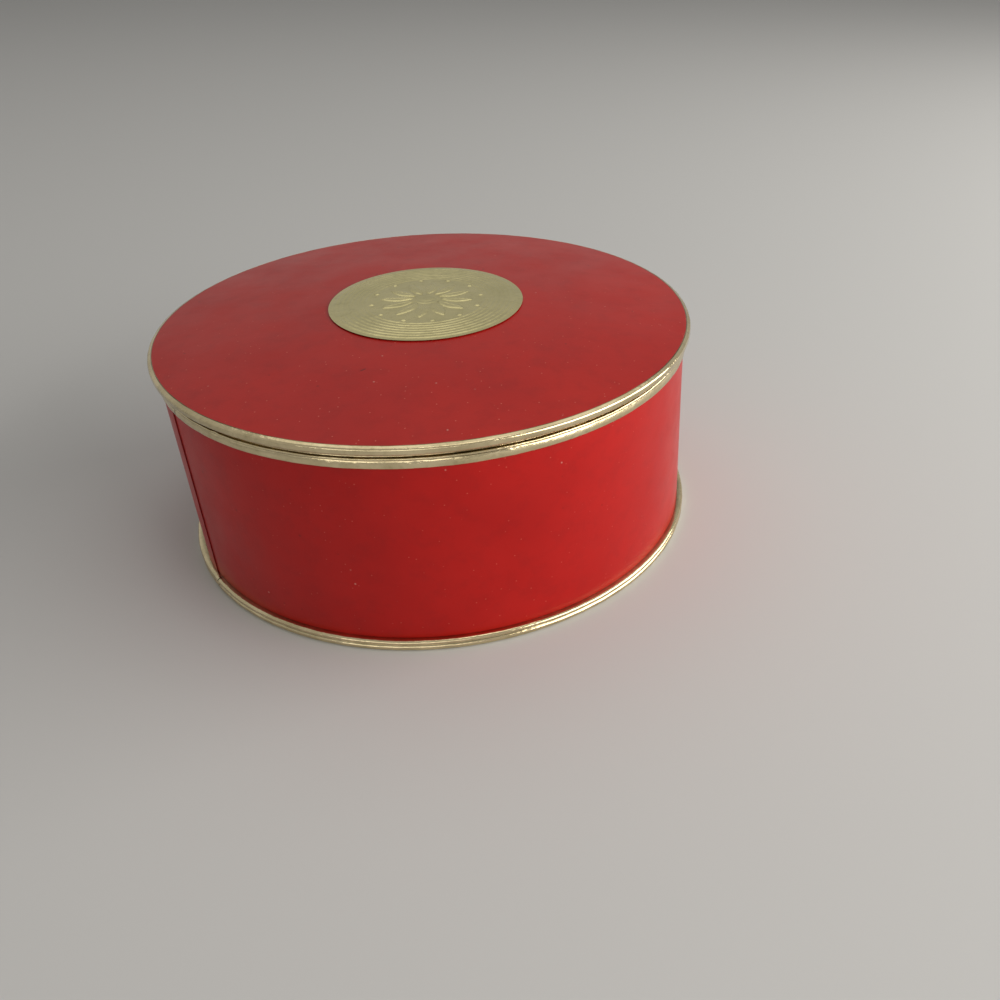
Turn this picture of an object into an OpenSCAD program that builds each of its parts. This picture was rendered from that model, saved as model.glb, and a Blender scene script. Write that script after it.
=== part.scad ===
// Round powder box: a paper-covered board drum with three rolled metal rims, a shallow crowned lid
// with a stamped medallion, and a powder puff inside.
// Millimetres, +Z up, origin on the floor under the middle of the base.

/* [Box] */
// Outside diameter over the metal rims
rim_diameter = 127; // [110:1:150]
// Height from the floor to the top of the lid's rim
rim_top_height = 51.3; // [48:0.1:70]
// How far the lid's rim and the base rim stand out from the papered wall
rim_overhang = 1.6; // [1.45:0.05:2]
// Thickness of the wound board of the wall
wall_board = 1.6; // [1.2:0.1:2.2]
// Thickness of the board that closes the base
base_board = 1.6; // [1.2:0.1:2.4]
// Thickness of the red covering paper
cover_paper = 0.25; // [0.15:0.05:0.35]
// Thickness of the pale lining paper
lining_paper = 0.2; // [0.1:0.05:0.3]
// Angle of the covering paper's seam, from +X
seam_angle = -142; // [-180:1:180]
// Width of the overlap at the seam
seam_lap = 9; // [6:0.5:14]

/* [Rims] */
// Thickness of the metal strip
rim_strip = 0.25; // [0.2:0.05:0.35]
// Height of the lid's rim
lid_rim_height = 2.4; // [2.4:0.05:3.2]
// Width of the lid rim's lip on the red paper
lid_lip = 1.35; // [1:0.05:1.8]
// Reach of the lid rim's flange under the lid board
lid_flange = 2.9; // [2:0.1:3.2]
// Rounding of the lid rim's two outer corners
lid_rim_round = 0.6; // [0.5:0.05:0.9]
// Height of the rim at the mouth of the body
mouth_rim_height = 3.5; // [3.2:0.1:4.2]
// Height of the mouth rim's set-back seat, on which the lid rests
mouth_seat = 0.8; // [0.5:0.05:0.95]
// How far the seat is set back from the band below it
mouth_setback = 0.6; // [0.4:0.05:0.9]
// Radius of the mouth rim's small upper bead
mouth_bead_high = 0.3; // [0.2:0.05:0.35]
// Height from the crest of the mouth rim's shallow lower bead to the upper bead
mouth_bead_low = 1.2; // [0.8:0.1:1.4]
// How far the mouth rim stands out from the papered wall
mouth_overhang = 0.6; // [0.5:0.05:0.8]
// Height of the rim at the foot of the body
base_rim_height = 2.8; // [2.7:0.1:3.4]
// Radius of the base rim's lower bead
base_bead_low = 0.8; // [0.6:0.05:0.85]
// Radius of the base rim's upper bead
base_bead_high = 0.65; // [0.55:0.05:0.75]
// Reach of the base rim's flange under the base board
base_flange = 2.4; // [1.5:0.1:5]
// Height of the thin lip between a bead and the open wall
rim_foot = 0.1; // [0.1:0.05:0.3]
// Width of the butt joint in each rim
rim_joint = 0.3; // [0.2:0.05:0.8]
// Angle of the base rim's and the mouth rim's butt joints, from +X
rim_joint_angle = -139; // [-180:1:180]
// Angle of the lid rim's butt joint, from +X
lid_joint_angle = 112; // [-180:1:180]

/* [Lid] */
// Rise of the lid's crown from its edge to its middle
lid_crown = 4; // [2:0.1:6]
// Thickness of the lid's board
lid_board_thickness = 1.4; // [1:0.05:1.4]
// Thickness of the collar's board
collar_board = 1.5; // [1:0.1:2.2]
// How far the collar reaches down into the mouth
collar_drop = 7; // [4:0.5:12]

/* [Medallion] */
// Diameter of the stamped disc
medallion_diameter = 46; // [36:1:56]
// Thickness of its metal
medallion_foil = 0.3; // [0.2:0.05:0.5]
// Width of the smooth band at its edge
medallion_edge = 1; // [0.6:0.1:2]
// Spacing of the ripple rings
ripple_pitch = 1.2; // [0.8:0.1:1.6]
// Number of ripple rings
ripple_count = 7; // [3:1:8]
// Height of the ripple rings
ripple_height = 0.14; // [0.08:0.02:0.3]
// Number of petals in the rosette
petal_count = 12; // [8:1:16]
// Length of a petal
petal_length = 7.6; // [5:0.2:9]
// Width of a petal
petal_width = 3; // [2:0.1:4]
// Height of the petals and beads over the metal
petal_height = 0.22; // [0.15:0.01:0.5]
// Radius of the boss in the middle of the rosette
boss_radius = 3; // [2:0.1:4]
// Gap between the boss and the petals
petal_gap = 0.4; // [0.2:0.1:1]

/* [Puff] */
// Diameter of the plush pad
puff_diameter = 92; // [70:1:100]
// Diameter of the satin back at its sewn edge
back_diameter = 86; // [66:1:94]
// Height of the plush pad
pad_height = 14; // [8:0.5:20]
// Height of the back's rolled edge
back_edge = 2.4; // [1.6:0.1:4]
// Rise of the back's crown over its edge
back_crown = 3; // [1:0.1:5]
// Length of the ribbon strap along the back
strap_length = 74; // [60:1:80]
// Width of the ribbon strap
strap_width = 16; // [8:1:24]
// Thickness of the ribbon strap
strap_thickness = 0.8; // [0.4:0.1:1.4]
// Height of the strap's arch over the back
strap_arch = 9; // [6:0.5:12]
// Span of the strap's arch
strap_span = 60; // [44:1:66]

/* [Fits] */
// Glue line between curved faces of glued pieces
glue_line = 0.05; // [0.02:0.01:0.08]
// Gap under a piece that rests on another
seat_gap = 0.05; // [0.02:0.01:0.1]
// Radial clearance of the lid's collar in the mouth
collar_clearance = 0.35; // [0.3:0.05:0.6]

/* [Hidden] */
$fn = 128;

// Colours of the materials
red_paper = [0.62, 0.10, 0.09];
gold_metal = [0.72, 0.64, 0.42];
grey_board = [0.62, 0.56, 0.48];
pale_paper = [0.90, 0.87, 0.80];
ivory_plush = [0.93, 0.86, 0.78];
ivory_satin = [0.95, 0.89, 0.80];

// Radii from the rims inwards
rim_r = rim_diameter / 2;
wall_r = rim_r - rim_overhang;
board_r = wall_r - cover_paper - glue_line;
board_bore = board_r - wall_board;
lining_r = board_bore - glue_line;
lining_bore = lining_r - lining_paper;
mouth_leg_r = lining_bore - glue_line;
mouth_bore = mouth_leg_r - rim_strip;
collar_paper_r = mouth_bore - collar_clearance;
collar_r = collar_paper_r - lining_paper - glue_line;
collar_bore = collar_r - collar_board;
lid_lip_r = rim_r - lid_lip;
lid_flange_r = rim_r - lid_flange;
base_flange_r = wall_r - cover_paper - wall_board - base_flange;

// Heights from the floor upwards
wall_z = rim_strip;
inside_z = wall_z + base_board + lining_paper;
lid_rim_z = rim_top_height - lid_rim_height;
mouth_z = lid_rim_z - seat_gap;
wall_top_z = mouth_z - mouth_seat - rim_strip;
wall_height = wall_top_z - wall_z;
lid_edge_z = rim_top_height - rim_strip - glue_line;
puff_z = inside_z + seat_gap;
back_z = puff_z + pad_height;

// The lid's sandwich, as depths below the red surface
lid_board_depth = cover_paper + glue_line;
lid_lining_depth = lid_board_depth + lid_board_thickness + glue_line;
lid_under_depth = lid_lining_depth + lining_paper;
lid_sandwich_r = rim_r - lid_rim_round;
lid_lining_r = lid_flange_r - glue_line;
collar_top_z = crown_z(collar_r) - lid_under_depth - glue_line;
collar_z = lid_rim_z - collar_drop;

// How far a cutting shape runs past what it cuts
cut_margin = 1;

// Steps along the curves
crown_steps = 14;
bend_steps = 8;
strap_steps = 40;
ripple_steps = 6;

// Places within the medallion
medallion_r = medallion_diameter / 2;
ripple_out_r = medallion_r - medallion_edge;
ripple_in_r = ripple_out_r - ripple_count * ripple_pitch;
bead_r = ripple_pitch / 2;
bead_ring_r = ripple_in_r - bead_r;
petal_mid_r = boss_radius + petal_gap + petal_length / 2;
boss_groove_r = boss_radius * 2 / 3;

// Height of the lid's red surface at a distance from its axis
function crown_z(r) = lid_edge_z + lid_crown * (1 - pow(r / lid_lip_r, 2));

// Points of the lid's surface, lowered by a depth, between two distances
function crown_line(r0, r1, depth) = [
    for (i = [0:crown_steps])
        let (r = r0 + (r1 - r0) * i / crown_steps)
        [r, crown_z(r) - depth]
];

// Points of an arc about the axis, seen from above
function round_line(r, a0, a1) = [
    for (i = [0:bend_steps])
        let (a = a0 + (a1 - a0) * i / bend_steps)
        [r * cos(a), r * sin(a)]
];

// Points of a quarter of an ellipse about a centre
function quarter_line(centre, width, height, a0) = [
    for (i = [0:bend_steps])
        let (a = a0 + 90 * i / bend_steps)
        centre + [width * cos(a), height * sin(a)]
];

module tube(r_out, r_in, z, height) {
    rotate_extrude()
        translate([r_in, z])
            square([r_out - r_in, height]);
}

module disc(r, z, height) {
    translate([0, 0, z])
        cylinder(r = r, h = height);
}

// A layer of the lid that follows the crown
module crowned_disc(r, depth, thickness) {
    rotate_extrude()
        polygon(concat(crown_line(0, r, depth), crown_line(r, 0, depth + thickness)));
}

// The gap where the ends of a rolled strip meet
module butt_joint(angle, z, height) {
    rotate([0, 0, angle])
        translate([base_flange_r - cut_margin, -rim_joint / 2, z - cut_margin])
            cube([rim_r, rim_joint, height + 2 * cut_margin]);
}

// Section of the mouth rim, from its top downwards: a leg inside the wall, a hollow seat for the lid, a
// shoulder over the wall's edge and an outer band with a small bead over a wide shallow one
module mouth_rim_section() {
    web_r = wall_r + glue_line;
    band_r = web_r + rim_strip;
    crest_r = wall_r + mouth_overhang;
    seat_r = band_r - mouth_setback;
    low_crest = mouth_seat + 2 * mouth_bead_high + mouth_bead_low;
    low_rise = crest_r - band_r;
    low_curve = (pow(mouth_bead_low, 2) + pow(low_rise, 2)) / (2 * low_rise);
    translate([mouth_bore, 0])
        square([rim_strip, mouth_rim_height]);
    translate([mouth_bore, 0])
        square([seat_r - mouth_bore, rim_strip]);
    translate([seat_r - rim_strip, 0])
        square([rim_strip, mouth_seat + rim_strip]);
    translate([seat_r - rim_strip, mouth_seat])
        square([band_r - seat_r + rim_strip, rim_strip]);
    translate([web_r, mouth_seat])
        square([rim_strip, mouth_rim_height - mouth_seat]);
    intersection() {
        translate([web_r, mouth_seat])
            square([mouth_overhang, mouth_rim_height - rim_foot - mouth_seat]);
        union() {
            translate([crest_r - mouth_bead_high, mouth_seat + mouth_bead_high])
                circle(r = mouth_bead_high);
            translate([crest_r - low_curve, low_crest])
                circle(r = low_curve);
        }
    }
}

// Section of the base rim, from the floor upwards: a flange under the wall and a band with beads, hollow
// towards the wall. Each bead is a radius and a height above the floor.
module base_rim_section(flange_r, beads, height) {
    web_r = wall_r + glue_line;
    difference() {
        union() {
            translate([flange_r, 0])
                square([web_r + rim_strip - flange_r, rim_strip]);
            translate([web_r, 0])
                square([rim_strip, height]);
            for (bead = beads) {
                bead_section(web_r, bead[0], bead[1], bead[0]);
            }
        }
        translate([flange_r, rim_strip])
            square([web_r - flange_r, height]);
        for (bead = beads) {
            bead_section(wall_r, bead[0], bead[1], bead[0] - rim_strip);
        }
    }
}

// A half-round nose on a straight neck that starts at the wall
module bead_section(neck_r, bead_r, z, half_height) {
    nose_r = rim_r - bead_r;
    translate([neck_r, z - half_height])
        square([nose_r - neck_r, 2 * half_height]);
    translate([nose_r, z])
        circle(r = half_height);
}

// A bar with rounded outer corners, as the lid rim's outside and inside have
module rounded_section(r_in, r_out, z, height, corner) {
    translate([r_in, z])
        square([r_out - corner - r_in, height]);
    translate([r_in, z + corner])
        square([r_out - r_in, height - 2 * corner]);
    for (corner_z = [z + corner, z + height - corner]) {
        translate([r_out - corner, corner_z])
            circle(r = corner);
    }
}

module body_wall() {
    color(grey_board)
        tube(board_r, board_bore, wall_z, wall_height);
}

// The paper goes once round, and its outer end laps over its start
module body_wrap() {
    lap_angle = seam_lap / wall_r * 180 / PI;
    ramp_angle = lap_angle / 3;
    lap_z = base_rim_height + glue_line;
    lap_height = mouth_z - mouth_rim_height - glue_line - lap_z;
    lap_top = round_line(wall_r + cover_paper, seam_angle, seam_angle - lap_angle + ramp_angle);
    lap_under = round_line(wall_r - cover_paper / 2, seam_angle - lap_angle, seam_angle);
    color(red_paper)
        union() {
            tube(wall_r, wall_r - cover_paper, wall_z, wall_height);
            translate([0, 0, lap_z])
                linear_extrude(height = lap_height)
                    polygon(concat(lap_top, lap_under));
        }
}

module body_lining() {
    color(pale_paper)
        tube(lining_r, lining_bore, wall_z, wall_height);
}

module base_disc() {
    color(grey_board)
        disc(lining_bore - glue_line, wall_z, base_board);
}

module base_lining() {
    color(pale_paper)
        disc(lining_bore - 2 * glue_line, wall_z + base_board, lining_paper);
}

module base_paper() {
    color(pale_paper)
        disc(base_flange_r - glue_line, wall_z - lining_paper, lining_paper);
}

module base_rim() {
    beads = [
        [base_bead_low, base_bead_low],
        [base_bead_high, base_rim_height - rim_foot - base_bead_high]
    ];
    color(gold_metal)
        difference() {
            rotate_extrude()
                base_rim_section(base_flange_r, beads, base_rim_height);
            butt_joint(rim_joint_angle, 0, base_rim_height);
        }
}

module mouth_rim() {
    color(gold_metal)
        difference() {
            translate([0, 0, mouth_z])
                mirror([0, 0, 1])
                    rotate_extrude()
                        mouth_rim_section();
            butt_joint(rim_joint_angle, mouth_z - mouth_rim_height, mouth_rim_height);
        }
}

module lid_board() {
    color(grey_board)
        crowned_disc(lid_sandwich_r, lid_board_depth, lid_board_thickness);
}

module lid_paper() {
    color(red_paper)
        crowned_disc(lid_sandwich_r, 0, cover_paper);
}

module lid_lining() {
    color(pale_paper)
        crowned_disc(lid_lining_r, lid_lining_depth, lining_paper);
}

// A channel that holds paper and board between its lip and its flange
module lid_rim() {
    inside_height = lid_rim_height - 2 * rim_strip;
    color(gold_metal)
        difference() {
            rotate_extrude()
                difference() {
                    rounded_section(lid_flange_r, rim_r, lid_rim_z, lid_rim_height, lid_rim_round);
                    rounded_section(
                        lid_flange_r - cut_margin, rim_r - rim_strip, lid_rim_z + rim_strip, inside_height,
                        lid_rim_round - rim_strip
                    );
                    translate([lid_flange_r - cut_margin, lid_rim_z + rim_strip])
                        square([lid_lip_r - lid_flange_r + cut_margin, lid_rim_height]);
                }
            butt_joint(lid_joint_angle, lid_rim_z, lid_rim_height);
        }
}

module lid_collar() {
    color(grey_board)
        tube(collar_r, collar_bore, collar_z, collar_top_z - collar_z);
}

module collar_paper() {
    color(pale_paper)
        tube(collar_paper_r, collar_r + glue_line, collar_z, collar_top_z - collar_z);
}

// Height of the medallion's metal over the red surface, with its ripples
function ripple_at(r) = r < ripple_in_r || r > ripple_out_r
    ? 0
    : ripple_height * (1 - cos(360 * (r - ripple_in_r) / ripple_pitch)) / 2;

function foil_z(r) = crown_z(r) + glue_line + medallion_foil;

module medallion() {
    ripple_points = ripple_count * ripple_steps;
    rippled_top = [
        for (i = [0:ripple_points])
            let (r = ripple_out_r - (ripple_out_r - ripple_in_r) * i / ripple_points)
            [r, foil_z(r) + ripple_at(r)]
    ];
    plain_top = [for (r = [ripple_in_r / 2, 0]) [r, foil_z(r)]];
    underside = crown_line(0, medallion_r, -glue_line);
    color(gold_metal)
        union() {
            rotate_extrude()
                polygon(concat(underside, [[medallion_r, foil_z(medallion_r)]], rippled_top, plain_top));
            for (i = [0:petal_count - 1]) {
                turn = 360 * i / petal_count;
                rotate([0, 0, turn])
                    translate([petal_mid_r, 0, crown_z(petal_mid_r) + medallion_foil])
                        petal();
                rotate([0, 0, turn + 180 / petal_count])
                    translate([bead_ring_r, 0, foil_z(bead_ring_r)])
                        rosette_bead();
            }
            translate([0, 0, crown_z(0) + medallion_foil / 2])
                boss();
        }
}

// A pointed leaf where two round outlines cross
module petal() {
    side_r = (pow(petal_length / 2, 2) + pow(petal_width / 2, 2)) / petal_width;
    side_shift = side_r - petal_width / 2;
    linear_extrude(height = petal_height + glue_line)
        intersection() {
            translate([0, side_shift])
                circle(r = side_r);
            translate([0, -side_shift])
                circle(r = side_r);
        }
}

// The cap of a ball that stands out of the metal
module rosette_bead() {
    sink = medallion_foil / 2;
    intersection() {
        translate([0, 0, petal_height - bead_r])
            sphere(r = bead_r, $fn = 32);
        translate([-bead_r, -bead_r, -sink])
            cube([2 * bead_r, 2 * bead_r, sink + petal_height]);
    }
}

// A low round button with a ring cut round its top
module boss() {
    boss_height = medallion_foil / 2 + petal_height + glue_line;
    rotate_extrude()
        difference() {
            square([boss_radius, boss_height]);
            translate([boss_groove_r, boss_height])
                circle(r = petal_height / 2);
        }
}

// Plush pad, flat where it rests, with full sides drawn in at the seam
module puff_pad() {
    puff_r = puff_diameter / 2;
    back_r = back_diameter / 2;
    side_z = pad_height / 2;
    rest_r = puff_r - side_z;
    lower_side = quarter_line([rest_r, side_z], side_z, side_z, -90);
    upper_side = quarter_line([back_r, side_z], puff_r - back_r, pad_height - side_z, 0);
    color(ivory_plush)
        translate([0, 0, puff_z])
            rotate_extrude()
                polygon(concat([[0, 0]], lower_side, upper_side, [[0, pad_height]]));
}

function back_top_z(r) = back_z + back_edge + back_crown * (1 - pow(2 * r / back_diameter, 2));

// Satin back with a rolled sewn edge and a crown
module puff_back() {
    roll = back_edge / 2;
    edge_r = back_diameter / 2 - roll;
    rolled_edge = quarter_line([edge_r, back_z + roll], roll, roll, -90);
    crown = [
        for (i = [0:crown_steps])
            let (r = edge_r * (1 - i / crown_steps))
            [r, back_top_z(r)]
    ];
    color(ivory_satin)
        rotate_extrude()
            polygon(concat([[0, back_z]], rolled_edge, crown));
}

// Underside of the strap: along the back's crown, and over it in the middle
function strap_z(x) = back_top_z(abs(x)) + glue_line
    + (abs(x) < strap_span / 2 ? strap_arch * (1 + cos(360 * x / strap_span)) / 2 : 0);

function strap_line(from, to, lift) = [
    for (i = [0:strap_steps])
        let (x = from + (to - from) * i / strap_steps)
        [x, strap_z(x) + lift]
];

module puff_strap() {
    half = strap_length / 2;
    color(ivory_satin)
        translate([0, strap_width / 2, 0])
            rotate([90, 0, 0])
                linear_extrude(height = strap_width)
                    polygon(concat(strap_line(-half, half, 0), strap_line(half, -half, strap_thickness)));
}

body_wall();
body_wrap();
body_lining();
base_disc();
base_lining();
base_paper();
base_rim();
mouth_rim();
lid_board();
lid_paper();
lid_rim();
lid_lining();
lid_collar();
collar_paper();
medallion();
puff_pad();
puff_back();
puff_strap();
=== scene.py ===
import math

import bpy
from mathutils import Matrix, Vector, noise


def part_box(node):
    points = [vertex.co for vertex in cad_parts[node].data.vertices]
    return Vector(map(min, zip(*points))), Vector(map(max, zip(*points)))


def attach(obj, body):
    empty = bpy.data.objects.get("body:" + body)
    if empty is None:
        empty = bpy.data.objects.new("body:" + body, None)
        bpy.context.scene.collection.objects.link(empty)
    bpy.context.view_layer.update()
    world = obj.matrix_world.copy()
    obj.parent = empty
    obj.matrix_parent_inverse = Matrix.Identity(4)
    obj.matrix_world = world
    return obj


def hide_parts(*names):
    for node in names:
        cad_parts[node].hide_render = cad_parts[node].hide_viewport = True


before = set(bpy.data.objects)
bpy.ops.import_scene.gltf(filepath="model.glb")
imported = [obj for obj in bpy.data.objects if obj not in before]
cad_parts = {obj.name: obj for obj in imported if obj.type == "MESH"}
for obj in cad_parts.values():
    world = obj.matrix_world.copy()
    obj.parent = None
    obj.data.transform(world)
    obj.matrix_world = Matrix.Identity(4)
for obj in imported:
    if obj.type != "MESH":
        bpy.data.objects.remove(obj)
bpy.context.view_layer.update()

mm = 0.001


# Wall tube
# A tube of grey-brown board wound in layers. Paper covers it outside and inside and the rims close
# over its two edges, so it stays as the solid made it and only gets its raw board finish.
def add_node(material, kind, settings=None, **inputs):
    """Adds a shader node. An input is a value or the output of another node."""
    made = material.node_tree.nodes.new(kind)
    for key, value in (settings or {}).items():
        setattr(made, key, value)
    for key, value in inputs.items():
        socket = made.inputs[key.replace("_", " ")]
        if isinstance(value, bpy.types.NodeSocket):
            material.node_tree.links.new(value, socket)
        else:
            socket.default_value = value
    return made


def new_material(name):
    """An empty node material with its shader, and the place on the piece as coordinates."""
    material = bpy.data.materials.new(name)
    material.use_nodes = True
    shader = material.node_tree.nodes["Principled BSDF"]
    place = add_node(material, "ShaderNodeTexCoord").outputs["Object"]
    return material, shader, place


def link(material, output, shader, socket):
    """Joins an output to one of a shader's sockets."""
    material.node_tree.links.new(output, shader.inputs[socket])


def calculate(material, operation, *values):
    """One sum on values or on outputs of other nodes."""
    made = material.node_tree.nodes.new("ShaderNodeMath")
    made.operation = operation
    for socket, value in zip(made.inputs, values):
        if isinstance(value, bpy.types.NodeSocket):
            material.node_tree.links.new(value, socket)
        else:
            socket.default_value = value
    return made.outputs[0]


def stretch(material, place, scale):
    """Coordinates stretched by a scale along each axis."""
    made = add_node(material, "ShaderNodeMapping", Vector=place)
    made.inputs["Scale"].default_value = scale
    return made.outputs["Vector"]


def speckle(material, place, scale, detail=3.0, roughness=0.55):
    """Smooth random values from 0 to 1 over a surface."""
    made = add_node(
        material, "ShaderNodeTexNoise", Vector=place, Scale=scale, Detail=detail, Roughness=roughness)
    return made.outputs["Fac"]


def between(material, value, low, high, to_low=0.0, to_high=1.0):
    """A value spread from one range to another, and held at its ends."""
    made = add_node(material, "ShaderNodeMapRange", Value=value, From_Min=low, From_Max=high)
    made.inputs["To Min"].default_value = to_low
    made.inputs["To Max"].default_value = to_high
    return made.outputs["Result"]


def mixed(material, factor, first, second):
    """A colour between two others."""
    made = material.node_tree.nodes.new("ShaderNodeMix")
    made.data_type = "RGBA"
    for index, value in ((0, factor), (6, first), (7, second)):
        if isinstance(value, bpy.types.NodeSocket):
            material.node_tree.links.new(value, made.inputs[index])
        else:
            made.inputs[index].default_value = value if index == 0 else (*value, 1.0)
    return made.outputs[2]


def bumped(material, shader, height, depth, strength=1.0, under=None):
    """Raises the surface by a height pattern, on top of an earlier one if there is one."""
    made = add_node(material, "ShaderNodeBump", Height=height, Distance=depth, Strength=strength)
    if under is not None:
        material.node_tree.links.new(under, made.inputs["Normal"])
    link(material, made.outputs["Normal"], shader, "Normal")
    return made.outputs["Normal"]


def finish_node(name, material):
    """Gives a CAD node its finish."""
    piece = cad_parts[name]
    piece.data.materials.clear()
    piece.data.materials.append(material)


def make_board():
    """Raw board: short brown fibres with paler flecks."""
    material, shader, place = new_material("grey board")
    fibres = speckle(material, stretch(material, place, (1, 1, 4)), 420, 5)
    flecks = between(material, speckle(material, place, 1500, 2), 0.62, 0.72)
    colour = mixed(material, fibres, (0.25, 0.19, 0.13), (0.42, 0.34, 0.25))
    link(material, mixed(material, flecks, colour, (0.55, 0.47, 0.37)), shader, "Base Color")
    shader.inputs["Roughness"].default_value = 0.88
    bumped(material, shader, fibres, 0.08 * mm)
    return material


board = make_board()
for board_node in ("body_wall", "base_disc", "lid_board", "lid_collar"):
    finish_node(board_node, board)


# Covering paper of the wall
# Glazed red paper glued once round the tube, with its outer end lapped over its start at the left.
# The lap's raw edge shows as a thin dark line of dirt and painted shadow, and the rims hold the paper down
# above and below.
wall_low, wall_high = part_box("body_wrap")
wall_radius = wall_high.x
cover_paper = 0.25 * mm
seam_angle = math.radians(-142)
seam_lap = 9 * mm
seam_ramp = 3 * mm
round_steps = 360
wall_rows = 24
paper_swell = 0.05 * mm
flap_steps = 18
lap_tuck = 0.25 * mm
flap_paper = cover_paper * 0.8


def deselect():
    """Leaves nothing selected."""
    bpy.ops.object.select_all(action="DESELECT")


def draw_outline(name, points):
    """An outline in the XZ plane, drawn by extruding one vertex from point to point."""
    deselect()
    start_x, start_z = points[0]
    bpy.ops.mesh.primitive_plane_add(size=mm, location=(start_x, 0, start_z))
    piece = bpy.context.object
    piece.name = name
    piece.data.name = name
    bpy.ops.object.transform_apply(location=True, rotation=True, scale=True)
    bpy.ops.object.mode_set(mode="EDIT")
    bpy.ops.mesh.select_all(action="SELECT")
    bpy.ops.mesh.merge(type="CENTER")
    for (here_x, here_z), (there_x, there_z) in zip(points, points[1:]):
        step = (there_x - here_x, 0, there_z - here_z)
        bpy.ops.mesh.extrude_vertices_move(TRANSFORM_OT_translate={"value": step})
    bpy.ops.object.mode_set(mode="OBJECT")
    return piece


def turn(piece, steps, start=0.0, angle=math.tau):
    """Spins an outline about the box's axis, counted anticlockwise from a start angle."""
    piece.rotation_euler.z = start
    bpy.ops.object.transform_apply(location=True, rotation=True, scale=True)
    bpy.ops.object.mode_set(mode="EDIT")
    bpy.ops.mesh.select_all(action="SELECT")
    bpy.ops.mesh.spin(steps=steps, angle=-angle, center=(0, 0, 0), axis=(0, 0, 1))
    bpy.ops.mesh.select_all(action="SELECT")
    bpy.ops.mesh.remove_doubles(threshold=0.001 * mm)
    bpy.ops.mesh.normals_make_consistent(inside=False)
    bpy.ops.object.mode_set(mode="OBJECT")


def apply_modifier(piece, kind, **settings):
    """Adds a modifier to the active piece and applies it."""
    made = piece.modifiers.new(kind.title(), kind)
    for key, value in settings.items():
        setattr(made, key, value)
    bpy.ops.object.modifier_apply(modifier=made.name)


def smooth(piece, degrees):
    """Shades a piece smooth, apart from edges sharper than an angle."""
    deselect()
    piece.select_set(True)
    bpy.context.view_layer.objects.active = piece
    bpy.ops.object.shade_smooth_by_angle(angle=math.radians(degrees))


def dress(piece, material, body, slot, *nodes):
    """Finishes a piece: its material, the body it rides on and the CAD nodes it stands for."""
    piece.data.materials.clear()
    piece.data.materials.append(material)
    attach(piece, body)
    if nodes:
        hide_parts(*nodes)


def line(start, end, count):
    """Points along a straight stretch of an outline, without its start."""
    (x0, z0), (x1, z1) = start, end
    return [(x0 + (x1 - x0) * i / count, z0 + (z1 - z0) * i / count) for i in range(1, count + 1)]


def radius_and_angle(point):
    """A point's distance from the box's axis, and its angle about it."""
    return math.hypot(point.x, point.y), math.atan2(point.y, point.x)


def move_out(vertex, distance):
    """Moves a vertex straight away from the box's axis."""
    reach = math.hypot(vertex.co.x, vertex.co.y)
    vertex.co.x *= 1 + distance / reach
    vertex.co.y *= 1 + distance / reach


def swell(vertex, size, scale, seed):
    """Lets a wall stand a little proud here and there, as glued paper does."""
    move_out(vertex, size * noise.noise(vertex.co * scale + Vector((seed, seed, seed))))


wall_foot = (wall_radius, wall_low.z)
wall_head = (wall_radius, wall_high.z)
body_cover = draw_outline("body_cover", [wall_foot] + line(wall_foot, wall_head, wall_rows))
turn(body_cover, round_steps, start=seam_angle)
apply_modifier(body_cover, "SOLIDIFY", thickness=cover_paper, offset=-1)

base_rim_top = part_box("base_rim")[1].z
mouth_rim_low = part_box("mouth_rim")[0].z
bead_foot = 0.1 * mm
lap_foot = (wall_radius + cover_paper, base_rim_top - bead_foot)
lap_head = (wall_radius + cover_paper, mouth_rim_low + lap_tuck)
lap_turn = seam_lap / wall_radius
seam_flap = draw_outline("seam_flap", [lap_foot] + line(lap_foot, lap_head, wall_rows))
turn(seam_flap, flap_steps, start=seam_angle - lap_turn, angle=lap_turn)
for vertex in seam_flap.data.vertices:
    reach, angle = radius_and_angle(vertex.co)
    along = (angle - seam_angle + lap_turn) * wall_radius
    if along < seam_ramp:
        move_out(vertex, -cover_paper * (1 - along / seam_ramp))
apply_modifier(seam_flap, "SOLIDIFY", thickness=flap_paper, offset=-1)

deselect()
seam_flap.select_set(True)
body_cover.select_set(True)
bpy.context.view_layer.objects.active = body_cover
bpy.ops.object.join()
for vertex in body_cover.data.vertices:
    swell(vertex, size=paper_swell, scale=60, seed=3)
smooth(body_cover, 35)


def specks(material, place, scale, size, share):
    """Specks of dust: a share of the cells of a random pattern has a spot in its middle."""
    cells = add_node(material, "ShaderNodeTexVoronoi", Vector=place, Scale=scale, Randomness=1.0)
    spot = between(material, cells.outputs["Distance"], size, size * 0.4)
    pick = add_node(material, "ShaderNodeSeparateColor", Color=cells.outputs["Color"]).outputs["Red"]
    return calculate(material, "MULTIPLY", spot, between(material, pick, 1 - share, 1.02 - share))


def mark(material, place, centre, turned, reach):
    """A long spot: 1 within an ellipsoid at a centre, turned about the box's axis, 0 outside it."""
    made = add_node(material, "ShaderNodeMapping", {"vector_type": "TEXTURE"}, Vector=place)
    made.inputs["Location"].default_value = centre
    made.inputs["Rotation"].default_value = (0, 0, turned)
    made.inputs["Scale"].default_value = reach
    length = add_node(
        material, "ShaderNodeVectorMath", {"operation": "LENGTH"}, Vector=made.outputs["Vector"])
    return between(material, length.outputs["Value"], 1.0, 0.6)


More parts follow.
